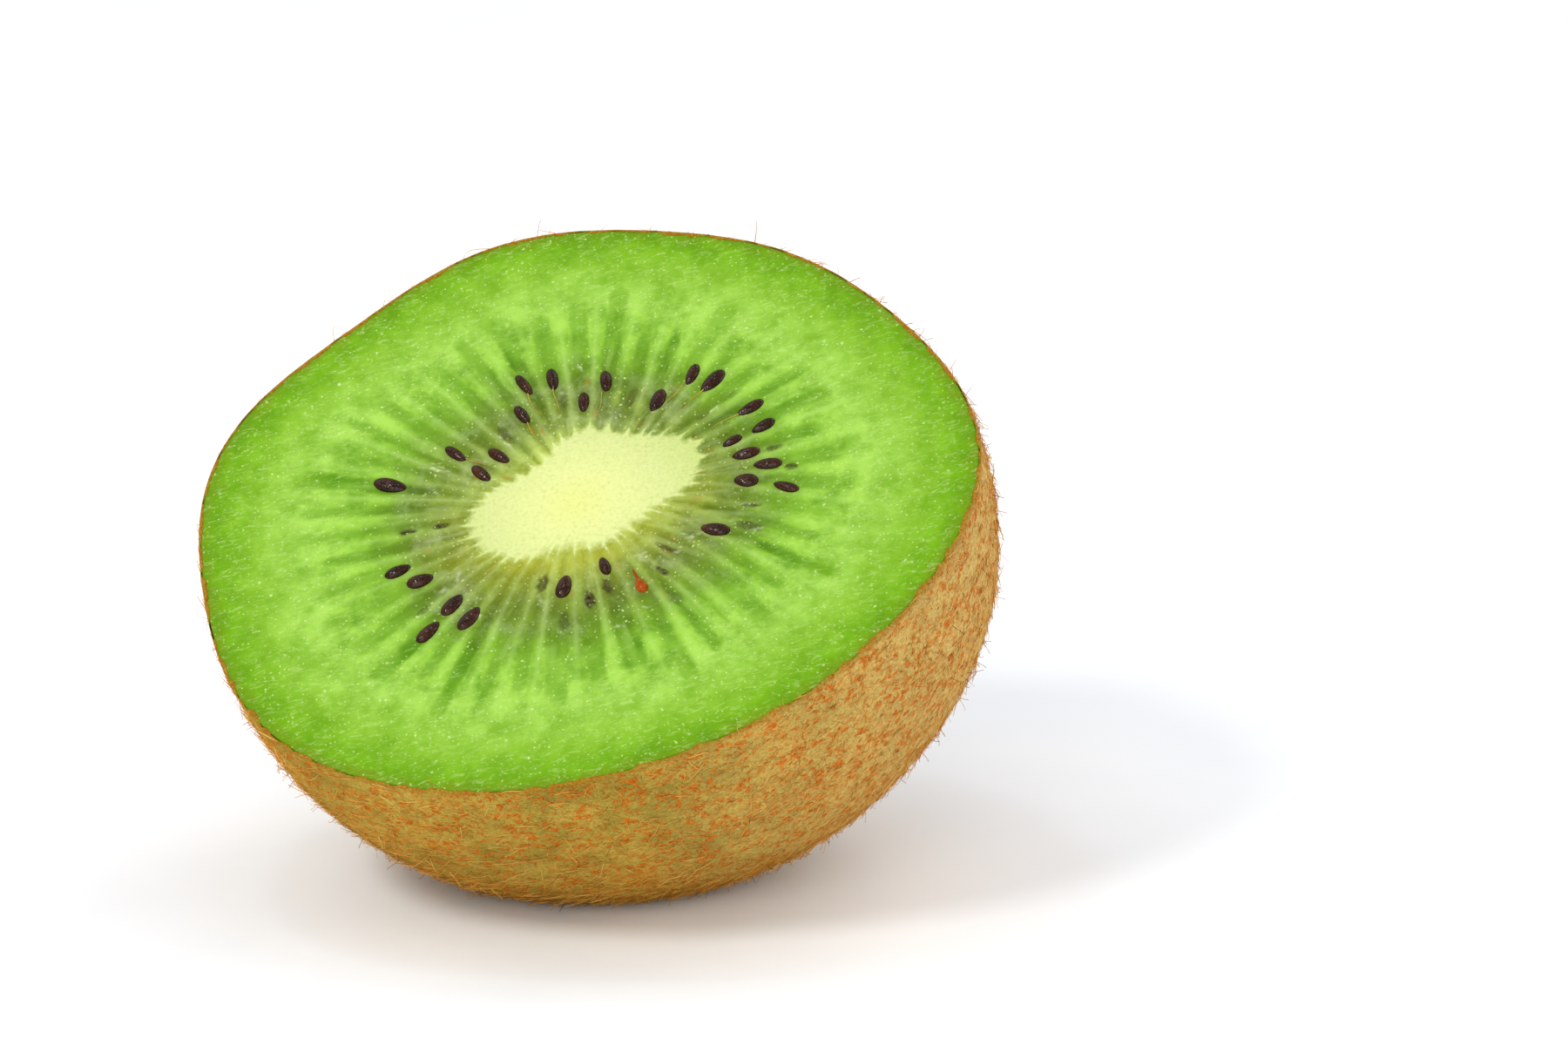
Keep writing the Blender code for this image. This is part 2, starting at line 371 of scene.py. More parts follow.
def grid_mesh(name, points, near, far):
    """A closed mesh from rings of points, with the near point closing one end and the far the other."""
    rings, columns = points.shape[:2]
    corners = [tuple(p) for p in points.reshape(-1, 3)]
    corners += [tuple(near), tuple(far)]
    first, last = len(corners) - 2, len(corners) - 1
    faces = []
    for column in range(columns):
        after = (column + 1) % columns
        faces.append((first, column, after))
        for ring in range(rings - 1):
            here, there = ring * columns, (ring + 1) * columns
            faces.append((here + column, there + column, there + after, here + after))
        faces.append(((rings - 1) * columns + after, (rings - 1) * columns + column, last))
    mesh = bpy.data.meshes.new(name)
    mesh.from_pydata(corners, [], faces)
    mesh.polygons.foreach_set("use_smooth", [True] * len(faces))
    mesh.update()
    return mesh


def put_values(mesh, name, values):
    """Stores one number for each point of the mesh under a name that its material reads."""
    layer = mesh.attributes.new(name, "FLOAT", "POINT")
    layer.data.foreach_set("value", np.asarray(values, np.float32).ravel())


bearings = np.linspace(0, 2 * math.pi, BEARINGS, endpoint=False)

# Rings of points, as shares of the way to the skin, closest where the chambers are.
FACE_RINGS = ((0.012, 0.16, 10), (0.166, 0.75, 86), (0.757, 1, 34))
face_shares = np.concatenate([np.linspace(*band) for band in FACE_RINGS])
face_reach = (rim_reach(bearings) - PEEL_THICKNESS) / MM
bearing, share = np.meshgrid(bearings, face_shares)
radius = share * face_reach
x, y = radius * np.cos(bearing), radius * np.sin(bearing)
outside = past_core(x, y)

# Which chamber a point is in, and how far it is from that chamber's walls.
feet = np.radians([foot for _, foot in WALLS])
ends = np.radians([end for end, _ in WALLS])
foot_reach = np.linspace(0, 14, 281)
foot_share = np.array(
    [
        foot_reach[np.argmax(past_core(foot_reach * math.cos(f), foot_reach * math.sin(f)) > 0)] * MM
        for f in feet
    ]
) / rim_reach(feet)
progress = np.clip((face_shares[:, None] - foot_share) / (WALL_END - foot_share), 0, 1)
wall_bearing = ends + (feet - ends) * (1 - progress) ** WALL_BEND
wall_count = len(WALLS)
chamber = np.empty(x.shape, int)
fraction = np.empty(x.shape)
wide = np.empty(x.shape)
for ring in range(len(face_shares)):
    line = np.concatenate([wall_bearing[ring] + whole * 2 * math.pi for whole in (-1, 0, 1)])
    found = np.searchsorted(line, bearings, side="right") - 1
    wide[ring] = (line[found + 1] - line[found]) * radius[ring]
    fraction[ring] = (bearings - line[found]) / (line[found + 1] - line[found])
    chamber[ring] = found % wall_count
from_wall = np.minimum(fraction, 1 - fraction) * wide
off_centre = 2 * fraction - 1
nearest_wall = np.where(fraction < 0.5, chamber, (chamber + 1) % wall_count)

luck = np.random.default_rng(11)
chamber_end = luck.uniform(0.66, 0.82, wall_count)[chamber]
chamber_depth = luck.uniform(0.72, 1.0, wall_count)[chamber]
chamber_lean = luck.uniform(-0.35, 0.35, wall_count)[chamber]
wall_strength = luck.uniform(0.5, 1.0, wall_count)[nearest_wall]
drop_share = luck.uniform(0.70, 0.79, wall_count)[chamber]
drop_depth = np.where(luck.random(wall_count) < 0.45, luck.uniform(0.3, 0.8, wall_count), 0)[chamber]

ragged = 0.5 * cloud(x, y, 0.9, 1) + 0.5 * cloud(x, y, 0.35, 2)
inner_end = 0.7 * off_centre**4 + 0.25 * cloud(x, y, 0.5, 3)
low_side = np.clip(np.cos(bearing - math.radians(262)) * 0.8 + 0.35, 0, 1)
softness = 0.35 + 0.35 * low_side
core = 1 - step(inner_end - softness, inner_end + softness, outside)
gap = 0.06 + 0.42 * step(0.42, 0.80, share) + 0.16 * ragged
locule = step(gap, gap + 0.55, from_wall * (1 - chamber_lean * off_centre))
locule *= 1 - step(-0.055, 0.03, share + 0.05 * off_centre**2 + 0.03 * ragged - chamber_end)
streak = cloud(radius, bearing * 60, 2.4, 14) + 0.6 * cloud(radius, bearing * 90, 1.3, 15)
locule *= chamber_depth * (0.80 + 0.2 * cloud(x, y, 1.1, 4) + 0.14 * streak) * (1 - core)
drop = drop_depth * np.exp(-(((share - drop_share) * 27 / 0.75) ** 2) - (off_centre * wide / 2 / 0.55) ** 2)
locule = np.maximum(locule, drop)
wall_width = 0.17 + 0.08 * step(0.25, 0.7, share)
ray = np.exp(-((from_wall / wall_width) ** 2)) * wall_strength * (1 - core)
ray *= (1 - step(0.62, 0.88, share)) * (0.70 + 0.25 * streak) * (0.45 + 0.55 * step(0.2, 0.5, share))
fibres = step(0.25, 0.8, cloud(radius, bearing * 70, 3.2, 17)) * (1 - core)
fibres *= step(0.2, 0.3, share) * (1 - step(0.5, 0.68, share))
ray = 0.7 * np.maximum(ray, 0.38 * fibres)
murk = step(0.22, 0.32, share) * (1 - step(0.40, 0.56, share + 0.06 * ragged)) * (1 - core)
murk *= 0.38 * np.clip(0.55 + 0.6 * cloud(x, y, 1.7, 6), 0, 1)
amber = np.exp(-((np.clip(outside, 0, None) / 2.6) ** 2)) * low_side * (1 - core)
amber *= 0.7 * np.clip(0.75 + 0.5 * cloud(x, y, 1.3, 7), 0, 1)

film = np.zeros_like(x)
for seed_bearing, seed_reach, length, width, dark in DEEP_SEEDS:
    turn = math.radians(seed_bearing)
    out = x * math.cos(turn) + y * math.sin(turn) - seed_reach
    side = y * math.cos(turn) - x * math.sin(turn)
    spot = np.hypot(out / (length / 2), side / (width / 2)) + 0.3 * cloud(x, y, 0.3, 8)
    film = np.maximum(film, min(1, dark * FILM_DARKNESS) * (1 - step(0.65, 1.2, spot)))

# Seeds sit in the face like stones in wet sand: the flesh dips round them.
lip = np.zeros_like(x)
seed_nodes = sorted(name for name in frame["nodes"] if name.startswith("seed_"))
for name in seed_nodes:
    low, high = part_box(name)
    middle = (low + high) / 2 - cut_middle
    off = np.hypot(x - middle.dot(along) / MM, y - middle.dot(across) / MM)
    lip = np.maximum(lip, np.exp(-((off / DIMPLE) ** 4)))

rust = np.zeros_like(x)
for _ in range(RUST_SPECKS):
    spot_bearing, spot_share = luck.uniform(0, 2 * math.pi), luck.uniform(0.22, 0.46)
    spot_reach = spot_share * float(rim_reach(spot_bearing)) / MM
    size, strength = luck.uniform(0.08, 0.15), luck.uniform(0.4, 1)
    out = x * math.cos(spot_bearing) + y * math.sin(spot_bearing) - spot_reach
    side = y * math.cos(spot_bearing) - x * math.sin(spot_bearing) + 0.12 * cloud(x, y, 0.3, 16)
    rust = np.maximum(rust, strength * np.exp(-(np.hypot(out / 3.0, side) / size) ** 2))
rust *= 0.7 * (1 - core)

# Painted highlights: each wet mark is laid into the colour as a pale streak, besides being raised and
# smoother.
glint = np.zeros_like(x)
for spot_bearing, spot_reach, length, width, turned, bright in WET_MARKS_AND_PAINTED_HIGHLIGHTS:
    turn = math.radians(spot_bearing)
    out = x * math.cos(turn) + y * math.sin(turn) - spot_reach
    side = y * math.cos(turn) - x * math.sin(turn)
    turn = math.radians(turned)
    out, side = out * math.cos(turn) + side * math.sin(turn), side * math.cos(turn) - out * math.sin(turn)
    side = side + 0.25 * width * np.sin(out * 9) + 0.5 * width * cloud(x, y, 0.4, 12)
    mark = np.hypot(out / (length / 2), side / (width / 2))
    broken = np.clip(0.7 + cloud(x, y, 0.22, 13), 0, 1)
    glint = np.maximum(glint, 0.65 * bright * (1 - step(0.5, 1.3, mark)) * broken)

height = 0.10 * core * step(0, 3, -outside) - 0.07 * locule + 0.07 * ray - 0.13 * lip + 0.06 * glint
height += 0.015 * cloud(x, y, 0.6, 9) + 0.03 * cloud(x, y, 3.5, 10)
height *= 1 - step(0.985, 1.0, share)


def on_cut(x, y, height):
    """Points on the cut, from mm along and across it and mm above it, in metres."""
    x, y, height = np.broadcast_arrays(x, y, height)
    return (
        np.array(cut_middle)
        + MM * x[..., None] * np.array(along)
        + MM * y[..., None] * np.array(across)
        + MM * height[..., None] * np.array(cut_normal)
    )


# Under the peel the flesh is closed off just inside the skin.
side_rows = [1, 6, 20, 45, 80, 115, SKIN_ROWS - 1]
hidden = []
for row in side_rows:
    depth = np.interp(bearings, turns, skin[row], period=2 * math.pi) - PEEL_THICKNESS
    hidden.append([cut_middle + heading(t, downs[row]) * d for t, d in zip(bearings, depth)])
far_end = np.array(hidden[-1]).mean(0)
rings = np.concatenate([on_cut(x, y, height), np.array(hidden[:-1])])
flesh_mesh = grid_mesh("cut_flesh", rings, on_cut(0, 0, 0.1), far_end)


def face_values(name, values, middle, under):
    """Values for the face's points, then for the hidden side's, then for the two closing points."""
    hidden_count = (len(side_rows) - 1) * BEARINGS
    put_values(flesh_mesh, name, np.concatenate([values.ravel(), [under] * hidden_count, [middle, under]]))


STORED = {
    "share": (share, 0, 1), "core": (core, 1, 0), "locule": (locule, 0, 0), "ray": (ray, 0, 0),
    "murk": (murk, 0, 0), "amber": (amber, 0, 0), "film": (film, 0, 0), "rust": (rust, 0, 0),
    "glint": (glint, 0, 0),
}
for name, (values, middle, under) in STORED.items():
    face_values(name, values, middle, under)

# Kiwi flesh: wet, softly see-through cells. The eye gets saturated green in
# the chambers, milky walls, pale juice-filled strands and small sharp sparkles;
# the sparkles are partly painted highlights, pale specks and streaks in the colour.
PALE_STOPS = (
    (0.20, "#bbcb63"), (0.28, "#9ab04f"), (0.36, "#7f982e"), (0.42, "#7b9b2d"), (0.50, "#7faf2c"),
    (0.58, "#8cbd3a"), (0.65, "#98c747"), (0.72, "#98c64e"), (0.80, "#91c046"), (0.87, "#80b12d"),
    (0.92, "#74a91b"), (0.96, "#6aa007"), (0.99, "#698a07"),
)
DEEP_STOPS = (
    (0.20, "#6c7c10"), (0.28, "#4f6307"), (0.36, "#465b07"), (0.44, "#486507"), (0.50, "#4b7007"),
    (0.57, "#4c7d07"), (0.64, "#4f8407"), (0.70, "#5b8e07"), (0.77, "#6b9d1a"), (0.84, "#699b10"),
    (0.90, "#5e9207"), (0.96, "#568807"),
)


flesh, tree, shader = material_for(
    "wet_kiwi_flesh", Roughness=0.3, IOR=1.36, Specular_IOR_Level=0.12,
    Subsurface_Weight=0.1, Subsurface_Scale=0.6 * MM,
)
shader.inputs["Subsurface Radius"].default_value = (0.7, 1.0, 0.25)
place = node(tree, "ShaderNodeTexCoord").outputs["Object"]
stored = {name: node(tree, "ShaderNodeAttribute", attribute_name=name).outputs["Fac"] for name in STORED}
grain = {"Vector": place, "Scale": per(1.2), "Detail": 5.0, "Roughness": 0.65}
grain = node(tree, "ShaderNodeTexNoise", grain)
waver = node(tree, "ShaderNodeMapRange", {"Value": grain, "To Min": -0.05, "To Max": 0.05})
out_share = node(tree, "ShaderNodeMath", {0: stored["share"], 1: waver}, operation="ADD")
pale = node(tree, "ShaderNodeValToRGB", {"Fac": out_share}, stops=PALE_STOPS)
deep = node(tree, "ShaderNodeValToRGB", {"Fac": out_share}, stops=DEEP_STOPS)
blotch = {"Vector": place, "Scale": per(2.2), "Detail": 5.0, "Roughness": 0.65}
blotch = node(tree, "ShaderNodeTexNoise", blotch)
blotch = {"Value": blotch, "From Min": 0.38, "From Max": 0.66, "To Max": 0.8}
blotch = node(tree, "ShaderNodeMapRange", blotch)
darkness = node(tree, "ShaderNodeMath", {0: stored["locule"], 1: blotch}, operation="MAXIMUM")
veil = node(tree, "ShaderNodeTexNoise", {"Vector": place, "Scale": per(1.5), "Detail": 5.0, "Roughness": 0.7})
veil = node(tree, "ShaderNodeMapRange", {"Value": veil, "From Min": 0.46, "From Max": 0.66})
murky = node(tree, "ShaderNodeMix", {0: veil, 6: linear("#46561c"), 7: linear("#a9b58c")}, data_type="RGBA")
ray_tint = node(
    tree, "ShaderNodeValToRGB", {"Fac": stored["share"]},
    stops=((0.2, "#bcc882"), (0.4, "#9fb26c"), (0.6, "#a1cd5e"), (0.8, "#a5cf5a")),
)

# Strands of juice cells, a millimetre or so long, drawn one way by the knife.
face_turn = Matrix((along, across, cut_normal)).transposed().to_euler()
on_face = {"Vector": place, "Location": cut_middle, "Rotation": face_turn}
on_face = node(tree, "ShaderNodeMapping", on_face, vector_type="TEXTURE")
drawn = {"Vector": on_face, "Scale": (per(0.8), per(0.24), per(1.0)), "Rotation": (0, 0, -0.15)}
drawn = node(tree, "ShaderNodeMapping", drawn)
strand = {"Vector": drawn, "Scale": 1.0, "Detail": 4.0, "Roughness": 0.6, "Distortion": 1.2}
strand = node(tree, "ShaderNodeTexNoise", strand)
strand = {"Value": strand, "From Min": 0.53, "From Max": 0.68, "To Max": 0.28}
strand = node(tree, "ShaderNodeMapRange", strand)
outer = {"Value": stored["share"], "From Min": 0.48, "From Max": 0.70, "To Min": 0.12}
outer = node(tree, "ShaderNodeMapRange", outer)
strand = node(tree, "ShaderNodeMath", {0: strand, 1: outer}, operation="MULTIPLY")

# The core's fine dry grain also frays its edge and mottles the seeds under the film.
core_grain = node(tree, "ShaderNodeTexNoise", {"Vector": place, "Scale": per(0.25), "Detail": 3.0})
core_shade = node(
    tree, "ShaderNodeValToRGB", {"Fac": core_grain}, stops=((0.3, 0.93), (0.5, 0.99), (0.7, 1.05))
)
core_tint = node(
    tree, "ShaderNodeValToRGB", {"Fac": stored["share"]},
    stops=((0.0, "#d3d884"), (0.10, "#d2d98e"), (0.22, "#c8d28a"), (0.34, "#b9c878")),
)
core_tint = node(
    tree, "ShaderNodeMix", {0: 0.8, 6: core_tint, 7: core_shade}, data_type="RGBA", blend_type="MULTIPLY"
)
frayed = {"Value": core_grain, "From Min": 0.3, "From Max": 0.7, "To Min": -0.18, "To Max": 0.18}
frayed = node(tree, "ShaderNodeMapRange", frayed)
core_part = node(tree, "ShaderNodeMath", {0: stored["core"], 1: frayed}, operation="ADD")
core_part = node(tree, "ShaderNodeMapRange", {"Value": core_part, "From Min": 0.1, "From Max": 0.95})
mottle = {"Value": core_grain, "From Min": 0.3, "From Max": 0.65, "To Min": 0.55}
mottle = node(tree, "ShaderNodeMapRange", mottle)
film_part = node(tree, "ShaderNodeMath", {0: stored["film"], 1: mottle}, operation="MULTIPLY")

# Burst cells: specks a tenth of a millimetre across that catch the light, painted
# into the colour as pale painted sparkle and raised in the bump: a fine close sort
# all over and a larger sort in loose drifts.
fine_specks = node(tree, "ShaderNodeTexVoronoi", {"Vector": place, "Scale": per(0.32)})
lucky = node(tree, "ShaderNodeSeparateXYZ", {"Vector": fine_specks.outputs["Color"]})
lucky = node(tree, "ShaderNodeMapRange", {"Value": lucky, "From Min": 0.30, "From Max": 0.9})
fine_part = {"Value": fine_specks, "From Min": 0.28, "From Max": 0.10, "To Max": 0.55}
fine_part = node(tree, "ShaderNodeMapRange", fine_part)
fine_part = node(tree, "ShaderNodeMath", {0: fine_part, 1: lucky}, operation="MULTIPLY")
shaken = node(tree, "ShaderNodeTexNoise", {"Vector": place, "Scale": per(0.3), "Detail": 2.0})
shaken = {0: shaken.outputs["Color"], 1: [0.35 * MM] * 3, 2: place}
shaken = node(tree, "ShaderNodeVectorMath", shaken, operation="MULTIPLY_ADD")
big_part = node(tree, "ShaderNodeTexVoronoi", {"Vector": shaken, "Scale": per(0.85)})
big_part = {"Value": big_part, "From Min": 0.14, "From Max": 0.06, "To Max": 0.65}
big_part = node(tree, "ShaderNodeMapRange", big_part)
drift = node(tree, "ShaderNodeTexNoise", {"Vector": place, "Scale": per(2.4), "Detail": 2.0})
drift = node(tree, "ShaderNodeMapRange", {"Value": drift, "From Min": 0.40, "From Max": 0.56})
big_part = node(tree, "ShaderNodeMath", {0: big_part, 1: drift}, operation="MULTIPLY")
specks_with_painted_sparkle = node(tree, "ShaderNodeMath", {0: fine_part, 1: big_part}, operation="MAXIMUM")
off_core = node(tree, "ShaderNodeMapRange", {"Value": stored["core"], "To Min": 1.0, "To Max": 0.0})
specks_with_painted_sparkle = node(tree, "ShaderNodeMath", {0: specks_with_painted_sparkle, 1: off_core}, operation="MULTIPLY")

# Each layer is laid over the ones before it; the pale specks are partly painted
# sparkle, and the glints on top are painted highlights.
FLESH_LAYERS = (
    (darkness, deep), (stored["murk"], murky), (stored["amber"], linear("#959307")),
    (strand, linear("#c9e38e")), (stored["ray"], ray_tint), (core_part, core_tint),
    (film_part, linear("#2e1a12")), (stored["rust"], linear("#a8702a")), (specks_with_painted_sparkle, linear("#cfe399")),
    (stored["glint"], linear("#dae4bc")),
)
green = pale
for part, colour in FLESH_LAYERS:
    green = node(tree, "ShaderNodeMix", {0: part, 6: green, 7: colour}, data_type="RGBA")
tree.links.new(shown(green), shader.inputs["Base Color"])

raised = {"Vector": place, "Scale": per(0.35), "Detail": 4.0, "Roughness": 0.7}
raised = node(tree, "ShaderNodeTexNoise", raised)
for more in (specks_with_painted_sparkle, strand):
    raised = node(tree, "ShaderNodeMath", {0: raised, 1: more}, operation="ADD")
bump = node(tree, "ShaderNodeBump", {"Height": raised, "Strength": 0.55, "Distance": 0.06 * MM})
tree.links.new(shown(bump), shader.inputs["Normal"])
wet = node(tree, "ShaderNodeMath", {0: grain, 1: stored["glint"]}, operation="SUBTRACT")
wet = {"Value": wet, "From Min": -0.3, "From Max": 0.65, "To Min": 0.12, "To Max": 0.5}
wet = node(tree, "ShaderNodeMapRange", wet)
tree.links.new(shown(wet), shader.inputs["Roughness"])

cut_flesh = bpy.data.objects.new("cut_flesh", flesh_mesh)
flesh_mesh.materials.append(flesh)
bpy.context.scene.collection.objects.link(cut_flesh)
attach(cut_flesh, "root")

# ----------------------------------------------------------------- the peel
# A tough skin under a fifth of a millimetre thick, khaki brown, felted with short
# fibres and flecked with rusty scales. It grew on the flesh; the knife left
# its edge ragged, standing just proud of the cut.

LIP_WIDTH = 0.17  # mm
LUMP_HEIGHT = 0.035  # mm
LUMP_FADE = 0.05  # radians down from the cut, where the lumps begin
RIM_REACH = 26  # mm, for the pattern of the torn edge
# Painted light: toward the right the peel is painted paler, as if lit from that side; the pits grow over the
# same span.
PALE_FROM, PALE_TO = 2 * MM, 26 * MM  # along X, where the peel is paler

column, row_down = np.meshgrid(turns, downs)
level_x, level_y = np.cos(column), np.sin(column)
way = (
    (level_x * np.cos(row_down))[..., None] * np.array(along)
    + (level_y * np.cos(row_down))[..., None] * np.array(across)
    - np.sin(row_down)[..., None] * np.array(cut_normal)
)
place_on_skin = np.array(cut_middle) + way * skin[..., None]
lumps = (
    cloud(place_on_skin[..., 0] / MM + 40, place_on_skin[..., 2] / MM + 40, 1.4, 21)
    + cloud(place_on_skin[..., 1] / MM + 40, place_on_skin[..., 2] / MM + 40, 0.9, 22)
)
fade = np.clip((row_down - JUST_UNDER) / LUMP_FADE, 0, 1)
place_on_skin = place_on_skin + way * (lumps * LUMP_HEIGHT * MM * fade)[..., None]

rim_x, rim_y = RIM_REACH * np.cos(turns), RIM_REACH * np.sin(turns)
torn = np.clip(0.55 + 0.9 * cloud(rim_x, rim_y, 0.9, 23) + 0.5 * cloud(rim_x, rim_y, 0.34, 24), 0, None)
rim_mm = skin[0] / MM
lip_rows = []
for inward, rise in ((1.0, -0.55), (1.0, 0.0), (0.75, 0.05), (0.3, 0.06)):
    ring_reach = rim_mm - LIP_WIDTH * inward * (0.35 + 1.5 * torn) + 0.02
    lip_rows.append(on_cut(ring_reach * np.cos(turns), ring_reach * np.sin(turns), rise * (0.5 + torn)))
inner_rows = []
for row in (0.999, 0.8, 0.55, 0.3, 0.12):
    index = int(row * (SKIN_ROWS - 1))
    inner_rows.append(np.array(cut_middle) + way[index] * (skin[index] - 3 * PEEL_THICKNESS)[:, None])
peel_rings = np.concatenate([np.array(inner_rows), np.array(lip_rows), place_on_skin[:-1]])
peel_rings[..., 2] = np.maximum(peel_rings[..., 2], 0)
inner_end_point = np.array(inner_rows[0]).mean(0)
outer_end_point = place_on_skin[-1].mean(0)
peel_mesh = grid_mesh("peel", peel_rings, inner_end_point, outer_end_point)
below_cut = 0.7 * np.exp(-(downs[:-1] / 0.016) ** 2)
ring_edge = np.concatenate([[0] * len(inner_rows), [1.0, 1.0, 1.0, 0.9], below_cut])
put_values(peel_mesh, "edge", np.append(np.repeat(ring_edge, SKIN_COLUMNS), [0, 0]))
ring_growth = np.concatenate([[0.0] * (len(inner_rows) + 3), [0.6], np.clip(0.6 + 10 * downs[:-1], 0, 1)])
growth = np.repeat(ring_growth, SKIN_COLUMNS) * (1 + 1.2 * step(7 * MM, 0, peel_rings.reshape(-1, 3)[:, 2]))
put_values(peel_mesh, "growth", np.append(growth, [0, 1]))

# Kiwi skin: dry, matt cork cells under a felt of fibres. The eye gets khaki
# with slow olive patches, rust-coloured scales in loose clusters, fine pits.
felted, tree, shader = material_for("felted_kiwi_skin", Roughness=0.9, IOR=1.4, Specular_IOR_Level=0.03)
place = node(tree, "ShaderNodeTexCoord").outputs["Object"]
patches = {"Vector": place, "Scale": per(5.0), "Detail": 6.0, "Roughness": 0.62}
patches = node(tree, "ShaderNodeTexNoise", patches)
khaki = node(
    tree, "ShaderNodeValToRGB", {"Fac": patches},
    stops=((0.34, "#938434"), (0.46, "#ac953f"), (0.56, "#bda046"), (0.68, "#c2953a")),
)
# Painted light: the peel is painted paler toward the right, where the light falls on it.
across_fruit = node(tree, "ShaderNodeSeparateXYZ", {"Vector": place})
painted_lit_side = {"Value": across_fruit, "From Min": PALE_FROM, "From Max": PALE_TO, "To Max": 0.7}
painted_lit_side = node(tree, "ShaderNodeMapRange", painted_lit_side)
skin_colour = node(tree, "ShaderNodeMix", {0: painted_lit_side, 6: khaki, 7: linear("#dcb872")}, data_type="RGBA")
fibre = {"Vector": place, "Scale": per(0.2), "Detail": 4.0, "Roughness": 0.8}
fibre = node(tree, "ShaderNodeTexNoise", fibre)
fibre_shade = node(tree, "ShaderNodeValToRGB", {"Fac": fibre}, stops=((0.32, 0.5), (0.5, 0.95), (0.66, 1.3)))
skin_colour = node(
    tree, "ShaderNodeMix", {0: 0.85, 6: skin_colour, 7: fibre_shade}, data_type="RGBA", blend_type="MULTIPLY"
)

# Rusty scales about half a millimetre across, in clusters, and dark pits between them.
warped = node(tree, "ShaderNodeTexNoise", {"Vector": place, "Scale": per(0.5), "Detail": 3.0})
warped = {0: warped.outputs["Color"], 1: [1.3 * MM] * 3, 2: place}
warped = node(tree, "ShaderNodeVectorMath", warped, operation="MULTIPLY_ADD")
scale_part = node(tree, "ShaderNodeTexVoronoi", {"Vector": warped, "Scale": per(0.60)})
scale_part = {"Value": scale_part, "From Min": 0.58, "From Max": 0.30, "To Max": 0.85}
scale_part = node(tree, "ShaderNodeMapRange", scale_part)
clusters = node(tree, "ShaderNodeTexNoise", {"Vector": place, "Scale": per(1.6), "Detail": 4.0})
clusters = node(tree, "ShaderNodeMapRange", {"Value": clusters, "From Min": 0.36, "From Max": 0.56})
fleck = node(tree, "ShaderNodeMath", {0: scale_part, 1: clusters}, operation="MULTIPLY")
fleck_colour = node(
    tree, "ShaderNodeValToRGB", {"Fac": fibre}, stops=((0.35, "#9c3e04"), (0.5, "#c85c08"), (0.65, "#dc8424"))
)
pit = node(tree, "ShaderNodeTexVoronoi", {"Vector": warped, "Scale": per(0.9)})
pit = node(tree, "ShaderNodeMapRange", {"Value": pit, "From Min": 0.22, "From Max": 0.10, "To Max": 0.8})
pitted = {"Value": across_fruit, "From Min": PALE_FROM, "From Max": PALE_TO, "To Min": 0.15}
pitted = node(tree, "ShaderNodeMapRange", pitted)
pit = node(tree, "ShaderNodeMath", {0: pit, 1: pitted}, operation="MULTIPLY")
edge_part = node(tree, "ShaderNodeAttribute", attribute_name="edge").outputs["Fac"]
edge_colour = node(tree, "ShaderNodeMapRange", {"Value": fibre, "From Min": 0.4, "From Max": 0.6})
edge_colour = node(
    tree, "ShaderNodeMix", {0: edge_colour, 6: linear("#945414"), 7: linear("#9c8428")}, data_type="RGBA"
)
for part, colour in ((fleck, fleck_colour), (pit, linear("#6d3410")), (edge_part, edge_colour)):
    skin_colour = node(tree, "ShaderNodeMix", {0: part, 6: skin_colour, 7: colour}, data_type="RGBA")
tree.links.new(shown(skin_colour), shader.inputs["Base Color"])
felt_height = node(tree, "ShaderNodeMath", {0: fleck, 1: 0.7, 2: fibre}, operation="MULTIPLY_ADD")
felt_height = node(tree, "ShaderNodeMath", {0: felt_height, 1: pit}, operation="SUBTRACT")
bump = node(tree, "ShaderNodeBump", {"Height": felt_height, "Strength": 0.8, "Distance": 0.09 * MM})
tree.links.new(shown(bump), shader.inputs["Normal"])

peel = bpy.data.objects.new("peel", peel_mesh)
peel_mesh.materials.append(felted)
bpy.context.scene.collection.objects.link(peel)
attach(peel, "root")
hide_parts("kiwi_half")

# ---------------------------------------------------------------- the hairs
# The skin's fur: short fibres matted flat like felt, longer golden hairs
# lying curled over them, and brittle dark ones that stand up. Each is one
# dried cell thread, rooted in the skin and tapering to nothing.

HAIR_THICKNESS = 0.042  # mm at the root, for a hair one millimetre long
HAIR_TAPER = 0.75  # share of its thickness lost before the point
HAIR_SIDES = 3
HAIR_RINGS = 4
PRESSED_TO = 0.02 * MM  # above what the fruit stands on


def tapered_tube(line, thickness, taper, sides, aside, up):
    """Corners and faces of a tube along a line, narrowing by a share and ending in a point."""
    corners, faces = [], []
    rings = len(line) - 1
    for ring, centre in enumerate(line[:-1]):
        thick = thickness / 2 * (1 - taper * ring / rings)
        for side in range(sides):
            turn = 2 * math.pi * side / sides
            corners.append(centre + thick * (math.cos(turn) * aside + math.sin(turn) * up))
    corners.append(line[-1])
    for side in range(sides):
        after = (side + 1) % sides
        for here in range(0, (rings - 1) * sides, sides):
            there = here + sides
            faces.append((here + side, here + after, there + after, there + side))
        faces.append(((rings - 1) * sides + side, (rings - 1) * sides + after, len(corners) - 1))
    faces.append(tuple(reversed(range(sides))))
    return corners, faces


